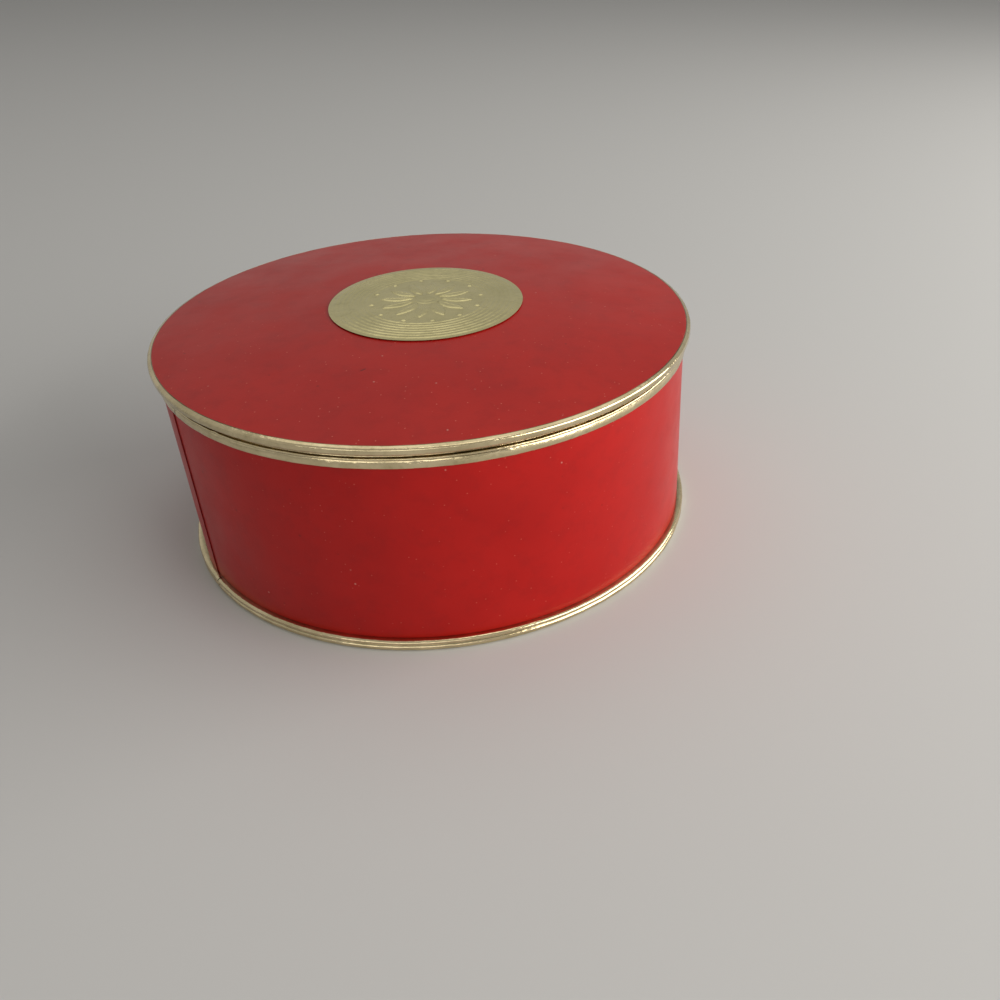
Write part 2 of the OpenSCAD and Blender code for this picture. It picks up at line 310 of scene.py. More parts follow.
def make_red_paper(name, deep, warm, dusty, mark_or_painted_shadow, mark_depth):
    """Glazed red paper with cloudy dye, fine fibres, dust, a few scuffs and one dark mark: a nick, or dirt
    with painted shadow along an edge.
    """
    material, shader, place = new_material(name)
    cloud = between(material, speckle(material, place, 42, 4), 0.3, 0.7)
    colour = mixed(material, cloud, deep, warm)
    patch = between(material, speckle(material, place, 230, 4, 0.65), 0.48, 0.75)
    colour = mixed(material, calculate(material, "MULTIPLY", patch, 0.22), colour, (0.17, 0.004, 0.005))
    grime = specks(material, place, 260, 0.10, 0.18)
    colour = mixed(material, calculate(material, "MULTIPLY", grime, 0.5), colour, (0.10, 0.004, 0.004))
    fine_dust = specks(material, place, 620, 0.11, 0.65)
    colour = mixed(material, calculate(material, "MULTIPLY", fine_dust, dusty), colour, (0.72, 0.30, 0.22))
    dust = specks(material, place, 230, 0.065, 0.22)
    colour = mixed(material, calculate(material, "MULTIPLY", dust, 0.6), colour, (0.66, 0.36, 0.30))
    rubs = speckle(material, stretch(material, place, (0.25, 1.6, 1)), 160, 6, 0.7)
    rubs = between(material, rubs, 0.64, 0.80)
    colour = mixed(material, calculate(material, "MULTIPLY", rubs, 0.10), colour, (0.46, 0.12, 0.10))
    # The dark mark is a nick on the lid; on the wall it is dirt with painted shadow along the seam.
    dark = mark(material, place, *mark_or_painted_shadow)
    colour = mixed(material, calculate(material, "MULTIPLY", dark, mark_depth), colour, (0.04, 0.004, 0.005))
    link(material, colour, shader, "Base Color")
    gloss = between(material, speckle(material, place, 90, 5), 0.3, 0.75, 0.30, 0.42)
    rough = calculate(material, "ADD", gloss, calculate(material, "MULTIPLY", rubs, 0.15))
    rough = calculate(material, "ADD", rough, calculate(material, "MULTIPLY", fine_dust, 0.3))
    link(material, rough, shader, "Roughness")
    shader.inputs["Specular IOR Level"].default_value = 0.26
    fibres = speckle(material, stretch(material, place, (1, 1, 0.35)), 2600, 3)
    grain = bumped(material, shader, fibres, 0.012 * mm)
    bumped(material, shader, dust, 0.06 * mm, under=grain)
    return material


seam_middle = (wall_radius * math.cos(seam_angle), wall_radius * math.sin(seam_angle), wall_high.z / 2)
# A thin dark band painted along the lap's raw edge: dirt on the edge, and painted shadow beside it.
seam_shadow = (seam_middle, seam_angle, (2 * mm, 0.09 * mm, 90 * mm))
seam_depth = 0.5
wall_dust = 0.35
red_wall = make_red_paper(
    "red wall paper", (0.37, 0.0045, 0.0035), (0.44, 0.007, 0.005), wall_dust, seam_shadow, seam_depth)
dress(body_cover, red_wall, "box", "red_paper", "body_wrap")


# Linings and underside
# Smooth cream paper glued inside the tube, on the inside of the base, under the lid and round the
# collar, and a plain disc of it under the base, within the foot rim.
def make_pale_paper():
    """Cream paper, a little cloudy and stained."""
    material, shader, place = new_material("cream paper")
    cloud = between(material, speckle(material, place, 60, 4), 0.3, 0.75)
    colour = mixed(material, cloud, (0.74, 0.66, 0.52), (0.82, 0.76, 0.63))
    stain = between(material, speckle(material, place, 23, 5, 0.65), 0.58, 0.75)
    colour = mixed(material, calculate(material, "MULTIPLY", stain, 0.45), colour, (0.62, 0.50, 0.34))
    link(material, colour, shader, "Base Color")
    shader.inputs["Roughness"].default_value = 0.72
    bumped(material, shader, speckle(material, place, 2200, 4), 0.02 * mm)
    return material


cream = make_pale_paper()
for paper_node in ("body_lining", "base_lining", "base_paper", "lid_lining", "collar_paper"):
    finish_node(paper_node, cream)


# Foot rim
# A strip of thin brass-coloured metal rolled to two beads with a groove between them. It goes under
# the board and up round the wall, and its ends meet in a butt joint below the paper's seam.
rim_strip = 0.25 * mm
glue_line = 0.05 * mm
rim_joint = 0.3 * mm
joint_angle = math.radians(-139)
dent_reach = 0.5 * mm
dent_scale = 340
dent_share = 0.6
wave_scale = 60
wave_share = 0.4
shown_strip = rim_strip * 0.7
foot_dents = 0.10 * mm
rim_steps = 560
base_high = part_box("base_rim")[1]
rim_radius = base_high.x
foot_radius = wall_radius + glue_line
base_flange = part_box("base_paper")[1].x + glue_line
low_bead = 0.8 * mm
high_bead = 0.65 * mm


def arc(centre_x, centre_z, radius, start, end, count):
    """Points along a round stretch of an outline, by angles in degrees."""
    points = []
    for i in range(count + 1):
        angle = math.radians(start + (end - start) * i / count)
        points.append((centre_x + radius * math.cos(angle), centre_z + radius * math.sin(angle)))
    return points


def roll_rim(name, points, start, dent_depth, seed):
    """Rolls an outline to a ring of strip, open at its joint, with the dents and waves of handwork."""
    rim = draw_outline(name, points)
    gap = rim_joint / rim_radius
    turn(rim, rim_steps, start=start + gap / 2, angle=math.tau - gap)
    for vertex in rim.data.vertices:
        reach, angle = radius_and_angle(vertex.co)
        wave = noise.noise(vertex.co * wave_scale + Vector((0, seed, 0)))
        dent = noise.noise(vertex.co * dent_scale + Vector((seed, 0, 0)))
        proud = min(1.0, max(0.0, (reach - wall_radius) / dent_reach))
        inward = wave_share * wave + dent_share * dent - dent_share
        move_out(vertex, dent_depth * proud * inward)
    return rim


def groove(material, value, middle, half):
    """1 where a value is close to a groove's middle, falling to 0 at its sides."""
    apart = calculate(material, "ABSOLUTE", calculate(material, "SUBTRACT", value, middle))
    return between(material, apart, half, half * 0.3)


def make_brass(name, bright, dull, low_rough, high_rough):
    """Pale brass plate with rolling lines, small dents and dull spots, and the colour that dirt and painted
    shade are laid on.
    """
    material, shader, place = new_material(name)
    tarnish = between(material, speckle(material, place, 150, 6, 0.6), 0.38, 0.72)
    fleck = between(material, speckle(material, place, 900, 3), 0.55, 0.8)
    colour = mixed(material, tarnish, bright, dull)
    colour = mixed(material, calculate(material, "MULTIPLY", fleck, 0.35), colour, (0.30, 0.25, 0.13))
    link(material, colour, shader, "Base Color")
    shader.inputs["Metallic"].default_value = 1.0
    spread = calculate(material, "ADD", tarnish, calculate(material, "MULTIPLY", fleck, 0.5))
    link(material, between(material, spread, 0.0, 1.3, low_rough, high_rough), shader, "Roughness")
    dents = bumped(material, shader, speckle(material, place, 260, 2), 0.16 * mm)
    pits = bumped(material, shader, speckle(material, place, 950, 2), 0.05 * mm, under=dents)
    scratches = speckle(material, stretch(material, place, (1, 1, 9)), 700, 4, 0.7)
    bumped(material, shader, scratches, 0.01 * mm, under=pits)
    return material, shader, place, colour


def add_dirt_and_painted_shade(material, shader, place, colour, grooves, strength):
    """Darkens the brass in patches along its grooves: dirt, and painted shade where they lie in shade."""
    patches = between(material, speckle(material, place, 210, 4, 0.6), 0.30, 0.60, 0.55, 1.0)
    darkening = calculate(material, "MULTIPLY", calculate(material, "MULTIPLY", grooves, patches), strength)
    link(material, mixed(material, darkening, colour, (0.06, 0.04, 0.015)), shader, "Base Color")


low_centre = rim_radius - low_bead
high_centre = rim_radius - high_bead
high_centre_z = base_high.z - bead_foot - high_bead
base_outline = [(base_flange, 0.0), (foot_radius, 0.0)]
base_outline += arc(low_centre, low_bead, low_bead, -90, 52, 14)
base_outline += arc(high_centre, high_centre_z, high_bead, -60, 90, 14)
base_outline += line(base_outline[-1], (foot_radius, base_high.z - bead_foot), 3)
foot_rim = roll_rim("foot_rim", base_outline, joint_angle, foot_dents, 11)
apply_modifier(foot_rim, "SOLIDIFY", thickness=shown_strip, offset=-1)
smooth(foot_rim, 50)
brass, brass_shader, brass_place, brass_colour = make_brass(
    "pale brass rims", (0.78, 0.66, 0.42), (0.54, 0.45, 0.26), 0.11, 0.28)
dress(foot_rim, brass, "box", "gold_metal", "base_rim")


# Mouth rim
# The same strip over the wall's upper edge: a leg inside, a set-back seat that the lid rests on, a
# shoulder, a small bead and a wide shallow one. Its joint is above the foot rim's.
mouth_low, mouth_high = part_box("mouth_rim")
mouth_crest = mouth_high.x
collar_room = 0.35 * mm
mouth_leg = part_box("collar_paper")[1].x + collar_room
mouth_seat = 0.8 * mm
mouth_setback = 0.6 * mm
seat_corner = 0.2 * mm
small_bead = 0.3 * mm
low_height = 1.2 * mm
band_radius = foot_radius + rim_strip
seat_radius = band_radius - mouth_setback
seat_head = mouth_high.z - seat_corner
shoulder_z = mouth_high.z - mouth_seat
shoulder_fillet = 0.08 * mm
crest_z = shoulder_z - 2 * small_bead - low_height
low_rise = mouth_crest - band_radius
low_round = (low_height ** 2 + low_rise ** 2) / (2 * low_rise)
low_lean = math.degrees(math.asin(low_height / low_round))
low_turn = 8
low_end = math.radians(low_turn)
mouth_dents = 0.12 * mm
under_curl = 0.42 * mm
leg_foot = (mouth_leg, mouth_low.z)
leg_head = (mouth_leg, seat_head)
mouth_outline = [leg_foot] + line(leg_foot, leg_head, 3)
mouth_outline += arc(mouth_leg + seat_corner, seat_head, seat_corner, 165, 90, 4)
mouth_outline += arc(seat_radius - seat_corner, seat_head, seat_corner, 90, 0, 4)
mouth_outline += [(seat_radius, shoulder_z + shoulder_fillet), (seat_radius + shoulder_fillet, shoulder_z)]
mouth_outline += arc(mouth_crest - small_bead, shoulder_z - small_bead, small_bead, 90, -75, 10)
mouth_outline += arc(mouth_crest - low_round, crest_z, low_round, low_lean, -low_turn, 16)
curl_x = mouth_crest - low_round + (low_round - under_curl) * math.cos(low_end)
curl_z = crest_z - (low_round - under_curl) * math.sin(low_end)
mouth_outline += arc(curl_x, curl_z, under_curl, -16, -88, 9)
mouth_outline += [(foot_radius, curl_z - under_curl)]
mouth_ring = roll_rim("mouth_ring", mouth_outline, joint_angle, mouth_dents, 23)

# One knock in the small bead, at the left of the front.
knock_angle = math.radians(-124)
knock_depth = 0.22 * mm
knock_reach = 0.8 * mm
knock_middle = Vector((
    mouth_crest * math.cos(knock_angle), mouth_crest * math.sin(knock_angle), shoulder_z - small_bead))
for vertex in mouth_ring.data.vertices:
    move_out(vertex, -knock_depth * math.exp(-((vertex.co - knock_middle).length / knock_reach) ** 2))

# Round the left of the front the shoulder and the beads are pressed down, so the lid stands clear there.
press_angle = math.radians(-142)
press_reach = math.radians(34)
press_depth = 0.30 * mm
for vertex in mouth_ring.data.vertices:
    reach, angle = radius_and_angle(vertex.co)
    if reach > seat_radius + shoulder_fillet / 2 and vertex.co.z > crest_z:
        apart = math.remainder(angle - press_angle, math.tau) / press_reach
        share = min(1.0, (vertex.co.z - crest_z) / (shoulder_z - crest_z))
        vertex.co.z -= press_depth * share * math.exp(-apart ** 2)
apply_modifier(mouth_ring, "SOLIDIFY", thickness=shown_strip, offset=-1)
smooth(mouth_ring, 50)
dress(mouth_ring, brass, "box", "gold_metal", "mouth_rim")


# Lid paper
# A disc of the same red paper over the crowned board, held at its edge under the lip of the lid's
# rim. It bows up a little towards the middle.
lid_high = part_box("lid_paper")[1]
paper_margin = 0.38 * mm
lid_radius = lid_high.x - paper_margin
lid_rows = 48
lid_waves = 0.10 * mm
lid_wave_scale = 38
lid_wave_seed = Vector((7, 7, 7))


def spun_disc(name, top, under, steps):
    """A closed disc, spun from its upper outline and its lower one, both from the axis outwards."""
    piece = draw_outline(name, top + under[::-1])
    turn(piece, steps)
    return piece


lid_lip = 1.35 * mm
lip_radius = rim_radius - lid_lip
lid_rim_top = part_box("lid_rim")[1].z
lid_edge = lid_rim_top - rim_strip - glue_line
lid_rise = lid_high.z - lid_edge


def crown_height(reach):
    """Height of the lid's red surface at a distance from its axis."""
    return lid_edge + lid_rise * (1 - (reach / lip_radius) ** 2)


crown = [(lid_radius * i / lid_rows, crown_height(lid_radius * i / lid_rows)) for i in range(lid_rows + 1)]
crown_under = [(reach, height - cover_paper) for reach, height in crown]
lid_cover = spun_disc("lid_cover", crown, crown_under, round_steps)
for vertex in lid_cover.data.vertices:
    reach, angle = radius_and_angle(vertex.co)
    inside = max(0.0, 1 - (reach / lip_radius) ** 6)
    vertex.co.z += lid_waves * inside * noise.noise(vertex.co * lid_wave_scale + lid_wave_seed)
smooth(lid_cover, 35)
nick_middle = (-7.9 * mm, -35.4 * mm, crown_height(36.3 * mm))
nick = (nick_middle, math.radians(45), (0.95 * mm, 0.3 * mm, 2 * mm))
nick_depth = 0.6
lid_dust = 0.6
red_lid = make_red_paper(
    "red lid paper", (0.39, 0.009, 0.006), (0.45, 0.012, 0.007), lid_dust, nick, nick_depth)
dress(lid_cover, red_lid, "lid", "red_paper", "lid_paper")


# Lid rim
# A channel of the same strip that clamps paper and board together: a lip on the red paper, a nearly
# flat face with rounded corners, and a flange underneath that sits on the mouth rim.
lid_rim_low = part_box("lid_rim")[0].z
lid_round = 0.55 * mm
under_round = 0.85 * mm
lip_rise = 0.03 * mm
lip_trim = 0.30 * mm
lip_start = lip_radius + lip_trim
lip_lean = 20
lip_hem = 0.15 * mm
hem_across = 0.03 * mm
hem_down = 0.02 * mm
lid_joint_angle = math.radians(112)
lid_dents = 0.07 * mm
lid_strip = rim_strip * 0.4
lip_slope = math.radians(lip_lean)
lid_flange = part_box("lid_lining")[1].x + glue_line
corner = rim_radius - lid_round
lip_end = corner + lid_round * math.sin(lip_slope)
lip_z = crown_height(lip_start) + lip_rise
lip_end_z = lip_z - (lip_end - lip_start) * math.tan(lip_slope)
lip_edge = (lip_start + hem_across, lip_z)
lid_outline = [(lip_start, lip_z - lip_hem), (lip_start, lip_z - hem_down), lip_edge]
lid_outline += line(lip_edge, (lip_end, lip_end_z), 5)
lid_outline += arc(corner, lip_end_z - lid_round * math.cos(lip_slope), lid_round, 86 - lip_lean, 0, 12)
lid_outline += arc(rim_radius - under_round, lid_rim_low + under_round, under_round, 0, -90, 12)
lid_outline += [(lid_flange, lid_rim_low)]
lid_ring = roll_rim("lid_ring", lid_outline, lid_joint_angle, lid_dents, 37)
apply_modifier(lid_ring, "SOLIDIFY", thickness=lid_strip, offset=-1)
smooth(lid_ring, 50)
dress(lid_ring, brass, "lid", "gold_metal", "lid_rim")

# Dark patches are painted in the groove of the foot rim and where its ledge meets the wall, under the small
# bead of the mouth rim, in the recess below the lid, and along the lip: dirt, and painted shade where these
# places lie in shade.
ledge_strength = 0.55
dirt_and_shade_strength = 0.9
bead_half = 0.17 * mm
brass_axes = add_node(brass, "ShaderNodeSeparateXYZ", Vector=brass_place).outputs
brass_flat = add_node(brass, "ShaderNodeCombineXYZ", X=brass_axes["X"], Y=brass_axes["Y"])
brass_length = add_node(
    brass, "ShaderNodeVectorMath", {"operation": "LENGTH"}, Vector=brass_flat.outputs["Vector"])
brass_reach = brass_length.outputs["Value"]
brass_height = brass_axes["Z"]
bead_groove = groove(brass, brass_height, middle=shoulder_z - 2 * small_bead - 0.03 * mm, half=bead_half)
foot_groove = groove(brass, brass_height, middle=high_centre_z - 0.55 * mm, half=bead_half)
lip_groove = groove(brass, brass_reach, middle=lip_start + 0.05 * mm, half=0.14 * mm)
at_lip = between(brass, brass_height, low=lip_z - 0.3 * mm, high=lip_z - 0.2 * mm)
lip_groove = calculate(brass, "MULTIPLY", lip_groove, at_lip)
# The recess lies in the shade of the lid's overhang, so its darkening is painted shade.
recess = groove(brass, brass_height, middle=shoulder_z + 0.45 * mm, half=0.55 * mm)
ledge = groove(brass, brass_reach, middle=foot_radius, half=0.9 * mm)
ledge = calculate(brass, "MULTIPLY", ledge, ledge_strength)
at_foot = between(brass, brass_height, low=2 * base_high.z, high=1.8 * base_high.z)
ledge = calculate(brass, "MULTIPLY", ledge, at_foot)
grooves = bead_groove
for dirty in (foot_groove, lip_groove, recess, ledge):
    grooves = calculate(brass, "MAXIMUM", grooves, dirty)
add_dirt_and_painted_shade(brass, brass_shader, brass_place, brass_colour, grooves, dirt_and_shade_strength)


# Medallion
# A thin disc of stamped brass glued to the middle of the lid. Rings of ripples run round its edge,
# and a plain rosette of petals, beads and a boss fills the middle.
medal_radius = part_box("medallion")[1].x
medal_foil = 0.3 * mm
ripple_pitch = 1.2 * mm
ripple_count = 7
plain_edge = 1.0 * mm
ripple_out = medal_radius - plain_edge
ripple_in = ripple_out - ripple_count * ripple_pitch
ripple_rise = 0.14 * mm
petal_count = 12
petal_start = 3.4 * mm
petal_length = 7.6 * mm
petal_half = 1.5 * mm
petal_rise = 0.22 * mm
petal_taper = 0.8
vein_depth = 0.35
vein_half = 0.18 * mm
boss_radius = 3.0 * mm
ring_radius = 2 * mm
ring_depth = 0.5
ring_half = 0.3 * mm
bead_radius = 0.6 * mm
medal_rows = 100
medal_steps = 600
seat_every = 8
seat_gap = 0.02 * mm


def dome(distance, radius):
    """A rounded rise, from 1 in the middle to 0 at its edge."""
    share = distance / radius
    return math.sqrt(max(0.0, 1 - share * share))


def medal_relief(reach, angle):
    """How far the stamping raises the medallion's face."""
    rise = 0.0
    if ripple_in < reach < ripple_out:
        rise += ripple_rise * (1 - math.cos(math.tau * (reach - ripple_in) / ripple_pitch)) / 2
    sector = math.tau / petal_count
    turned = (angle + sector / 2) % sector - sector / 2
    across = reach * turned
    along = (reach - petal_start) / petal_length
    if 0 < along < 1:
        half = petal_half * math.sin(math.pi * along) ** petal_taper
        if abs(across) < half:
            vein = vein_depth * math.exp(-(across / vein_half) ** 2)
            rise += petal_rise * (dome(across, half) - vein)
    beside = (angle % sector) - sector / 2
    to_bead = math.hypot(reach - (ripple_in - bead_radius), reach * beside)
    rise += petal_rise * dome(to_bead, bead_radius)
    boss_ring = ring_depth * math.exp(-((reach - ring_radius) / ring_half) ** 2)
    rise += petal_rise * dome(reach, boss_radius) * (1 - boss_ring)
    return rise


face = []
for i in range(medal_rows + 1):
    face_reach = medal_radius * i / medal_rows
    face.append((face_reach, crown_height(face_reach) + medal_foil))
seat = [(reach, height - medal_foil + seat_gap) for reach, height in face[::seat_every]]
medal = spun_disc("medal", face, seat, medal_steps)
for vertex in medal.data.vertices:
    reach, angle = radius_and_angle(vertex.co)
    if vertex.co.z > crown_height(reach) + 0.5 * medal_foil:
        vertex.co.z += medal_relief(reach, angle)
smooth(medal, 60)
stamped = make_brass("stamped brass", (0.70, 0.63, 0.33), (0.55, 0.50, 0.26), 0.27, 0.42)[0]
dress(medal, stamped, "lid", "gold_metal", "medallion")


# Puff pad
# A round pad of cream plush, flat where it lies on the base and full at its sides, drawn in at the
# seam where the back is sewn on. It is a cloth bag with loose filling, and its pile stands in tufts.
pad_low, pad_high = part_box("puff_pad")
pad_radius = pad_high.x
back_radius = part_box("puff_back")[1].x
pad_half = (pad_high.z - pad_low.z) / 2
pad_cut = 0.98
cloth_scale = 10
cloth_frames = 20
puff_steps = 240
pad_side_steps = 12
tuft_height = 0.36 * mm
tuft_scale = 480
tuft_share = 0.6
pile_scale = 1050
pile_share = 0.5
pile_sink = 0.7
lying_height = 0.3 * mm
lying_round = 0.8 * pad_half
sewn_depth = 1.2 * mm
slack_from = 5 * mm
slack_over = 6 * mm


def fill_bag(piece, voxel, sewn, slack, spare, pressure, most, levels):
    """Fills a cloth bag: held where it is sewn, with spare cloth where it is slack, then smoothed."""
    deselect()
    piece.select_set(True)
    bpy.context.view_layer.objects.active = piece
    piece.scale = (cloth_scale, cloth_scale, cloth_scale)
    bpy.ops.object.transform_apply(location=True, rotation=True, scale=True)
    piece.data.remesh_voxel_size = voxel * cloth_scale
    bpy.ops.object.voxel_remesh()
    before = [vertex.co.copy() for vertex in piece.data.vertices]
    held = piece.vertex_groups.new(name="sewn")
    tight = piece.vertex_groups.new(name="tight")
    for vertex in piece.data.vertices:
        held.add([vertex.index], sewn(vertex.co / cloth_scale), "REPLACE")
        tight.add([vertex.index], 1 - slack(vertex.co / cloth_scale), "REPLACE")
    cloth = piece.modifiers.new("Cloth", "CLOTH")
    cloth.settings.quality = 6
    cloth.settings.bending_stiffness = 0.2
    cloth.settings.vertex_group_mass = "sewn"
    cloth.settings.vertex_group_shrink = "tight"
    cloth.settings.shrink_min = -spare
    cloth.settings.shrink_max = 0.0
    cloth.settings.use_pressure = True
    cloth.settings.uniform_pressure_force = pressure
    cloth.settings.effector_weights.gravity = 0
    cloth.point_cache.frame_start = 1
    cloth.point_cache.frame_end = cloth_frames
    for number in range(1, cloth_frames + 1):
        bpy.context.scene.frame_set(number)
    bpy.ops.object.modifier_apply(modifier="Cloth")
    bpy.context.scene.frame_set(1)
    for vertex, start in zip(piece.data.vertices, before):
        path = vertex.co - start
        if path.length > most * cloth_scale:
            vertex.co = start + path * (most * cloth_scale / path.length)
    piece.vertex_groups.clear()
    piece.scale = (1 / cloth_scale, 1 / cloth_scale, 1 / cloth_scale)
    bpy.ops.object.transform_apply(location=True, rotation=True, scale=True)
    apply_modifier(piece, "SUBSURF", levels=levels, render_levels=levels)


pad_outline = [(0.0, pad_low.z)] + line((0.0, pad_low.z), (pad_radius - pad_half, pad_low.z), 16)
pad_outline += arc(pad_radius - pad_half, pad_low.z + pad_half, pad_half, -90, 0, 16)[1:]
for i in range(1, pad_side_steps + 1):
    lean = math.radians(90 * i / pad_side_steps)
    pad_outline.append((
        back_radius + (pad_radius - back_radius) * math.cos(lean),
        pad_low.z + pad_half + pad_half * math.sin(lean),
    ))
pad_outline += line(pad_outline[-1], (0.0, pad_high.z), 10)
plush_pad = draw_outline("plush_pad", [(reach * pad_cut, height) for reach, height in pad_outline])
turn(plush_pad, puff_steps)


def pad_sewn(spot):
    """Held at the seam above, and where the pad lies on the base."""
    rests = spot.z < pad_low.z + lying_height and math.hypot(spot.x, spot.y) < pad_radius - lying_round
    return 1.0 if rests or spot.z > pad_high.z - sewn_depth else 0.0


def pad_slack(spot):
    """Spare cloth at the upper side of the pad, none below."""
    return max(0.0, min(1.0, (spot.z - pad_low.z - slack_from) / slack_over))


fill_bag(
    plush_pad, voxel=1.8 * mm, sewn=pad_sewn, slack=pad_slack,
    spare=0.10, pressure=8, most=2.0 * mm, levels=2)
outward = [vertex.normal.copy() for vertex in plush_pad.data.vertices]
for vertex, way in zip(plush_pad.data.vertices, outward):
    tuft = tuft_share * noise.noise(vertex.co * tuft_scale)
    pile = pile_share * noise.noise(vertex.co * pile_scale)
    spot = vertex.co + way * tuft_height * (tuft + pile - pile_sink)
    spot.z = min(pad_high.z, max(pad_low.z, spot.z))
    vertex.co = spot
smooth(plush_pad, 180)


def make_plush():
    """Short pile in tufts, with some powder left on it."""
    material, shader, place = new_material("cream plush")
    tufts = speckle(material, place, 900, 4, 0.7)
    pile = speckle(material, place, 3200, 3, 0.6)
    colour = mixed(material, tufts, (0.72, 0.55, 0.44), (0.90, 0.79, 0.68))
    powder = between(material, speckle(material, place, 70, 4), 0.52, 0.72)
    colour = mixed(material, calculate(material, "MULTIPLY", powder, 0.5), colour, (0.93, 0.80, 0.70))
    colour = mixed(material, between(material, pile, 0.35, 0.65), colour, (0.95, 0.87, 0.78))
    link(material, colour, shader, "Base Color")
    shader.inputs["Roughness"].default_value = 0.95
    shader.inputs["Sheen Weight"].default_value = 0.6
    under = bumped(material, shader, tufts, 0.35 * mm)
    bumped(material, shader, pile, 0.18 * mm, under=under)
    return material


dress(plush_pad, make_plush(), "puff", "plush", "puff_pad")


# Puff back
# The puff's upper side: ivory satin over a little wadding, sewn down at its edge and under the ends
# of the strap, with its spare cloth gathered into small folds there.
back_low, back_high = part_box("puff_back")
edge_roll = 1.2 * mm
back_crown = 3.0 * mm
back_cut = 0.9 * mm
back_edge_z = back_high.z - back_crown - back_cut
tack_in = 27.5 * mm
tack_out = 37.5 * mm
tack_side = 8.5 * mm
back_steps = 36
under_height = 0.8 * mm
edge_width = 1.0 * mm
loose_from = 0.45
loose_over = 0.4


def back_height(reach):
    """Height of the satin at a distance from the axis, before it is filled."""
    return back_edge_z + back_crown * (1 - (reach / back_radius) ** 2)


back_outline = [(0.0, back_low.z)] + line((0.0, back_low.z), (back_radius - edge_roll, back_low.z), 8)
back_outline += arc(back_radius - edge_roll, back_low.z + edge_roll, edge_roll, -90, 60, 10)[1:]
for i in range(1, back_steps + 1):
    back_reach = (back_radius - edge_roll) * (1 - i / back_steps)
    back_outline.append((back_reach, back_height(back_reach)))
satin_back = draw_outline("satin_back", back_outline)
turn(satin_back, puff_steps)


def back_sewn(spot):
    """Held underneath, at the sewn edge, and under the two ends of the strap."""
    under = spot.z < back_low.z + under_height
    edge = math.hypot(spot.x, spot.y) > back_radius - edge_width
    tack = tack_in < abs(spot.x) < tack_out and abs(spot.y) < tack_side
    return 1.0 if under or edge or tack else 0.0


def back_slack(spot):
    """Spare cloth towards the edge, none in the middle."""
    return max(0.0, min(1.0, (math.hypot(spot.x, spot.y) / back_radius - loose_from) / loose_over))


fill_bag(
    satin_back, voxel=1.3 * mm, sewn=back_sewn, slack=back_slack,
    spare=0.09, pressure=2, most=1.5 * mm, levels=1)
smooth(satin_back, 180)


def make_satin():
    """A fine weave along one way, with a soft gloss."""
    material, shader, place = new_material("ivory satin")
    weave = speckle(material, stretch(material, place, (1, 7, 1)), 1100, 2)
    cloud = between(material, speckle(material, place, 55, 4), 0.35, 0.7)
    colour = mixed(material, weave, (0.80, 0.66, 0.50), (0.90, 0.79, 0.64))
    colour = mixed(material, calculate(material, "MULTIPLY", cloud, 0.35), colour, (0.76, 0.60, 0.44))
    link(material, colour, shader, "Base Color")
    link(material, between(material, weave, 0.3, 0.7, 0.30, 0.44), shader, "Roughness")
    shader.inputs["Sheen Weight"].default_value = 0.3
    bumped(material, shader, weave, 0.03 * mm)
    return material


satin = make_satin()
dress(satin_back, satin, "puff", "satin", "puff_back")


# Puff strap
# A satin ribbon sewn to the back at both ends, with a slack arch that two fingers go under. Two rows
# of thread stitches hold each end, and a row of them goes round the back's edge.
strap_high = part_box("puff_strap")[1]
strap_half = strap_high.x
strap_side = strap_high.y
strap_span = 60 * mm
strap_arch = 9 * mm
strap_steps = 96
ribbon_rows = 16
ribbon_thickness = 0.5 * mm
ribbon_gap = 0.3 * mm
ribbon_cup = 0.5 * mm
ribbon_wave = 0.35 * mm
ribbon_wave_scale = 90
wave_lift = 2 * mm
look_down = 20 * mm


def satin_height(x, y):
    """Height of the finished satin at a place, looked for from above."""
    above = Vector((x, y, back_high.z + look_down))
    found, spot = satin_back.ray_cast(above, Vector((0, 0, -1)))[:2]
    return spot.z if found else back_high.z


strap_line = []
for i in range(strap_steps + 1):
    strap_x = strap_half * (2 * i / strap_steps - 1)
    strap_line.append((strap_x, back_height(abs(strap_x)) + ribbon_gap))
ribbon = draw_outline("ribbon", strap_line)
bpy.ops.object.mode_set(mode="EDIT")
bpy.ops.mesh.select_all(action="SELECT")
bpy.ops.transform.translate(value=(0, -strap_side, 0))
for i in range(ribbon_rows):
    bpy.ops.mesh.extrude_edges_move(TRANSFORM_OT_translate={"value": (0, 2 * strap_side / ribbon_rows, 0)})
bpy.ops.mesh.select_all(action="SELECT")
bpy.ops.mesh.normals_make_consistent(inside=False)
bpy.ops.object.mode_set(mode="OBJECT")


def ribbon_height(x, y):
    """The arch of the ribbon, lying on the satin at its ends and cupped a little across its middle."""
    lift = strap_arch * (1 + math.cos(math.tau * x / strap_span)) / 2 if abs(x) < strap_span / 2 else 0.0
    cup = ribbon_cup * (1 - (y / strap_side) ** 2) * lift / strap_arch
    wave = ribbon_wave * noise.noise(Vector((x, y, 0)) * ribbon_wave_scale)
    wave *= min(1.0, lift / wave_lift)
    return max(back_height(abs(x)) + ribbon_gap + lift + cup + wave, satin_height(x, y) + ribbon_gap)


for vertex in ribbon.data.vertices:
    vertex.co.z = ribbon_height(vertex.co.x, vertex.co.y)
middle_line = [(x, ribbon_height(x, 0.0)) for x, height in strap_line]
apply_modifier(ribbon, "SOLIDIFY", thickness=ribbon_thickness, offset=0)
smooth(ribbon, 60)
dress(ribbon, satin, "puff", "satin", "puff_strap")

thread_radius = 0.17 * mm
stitch_length = 1.5 * mm
stitch_pitch = 2.1 * mm
hem_stitches = 7
edge_stitches = 124
edge_reach = back_radius - 2.0 * mm
hem_inset = 1.2 * mm
stitch_taper = 0.35
stitch_dip = 0.30 * mm
stitch_bend = 0.3
thread_sides = 7

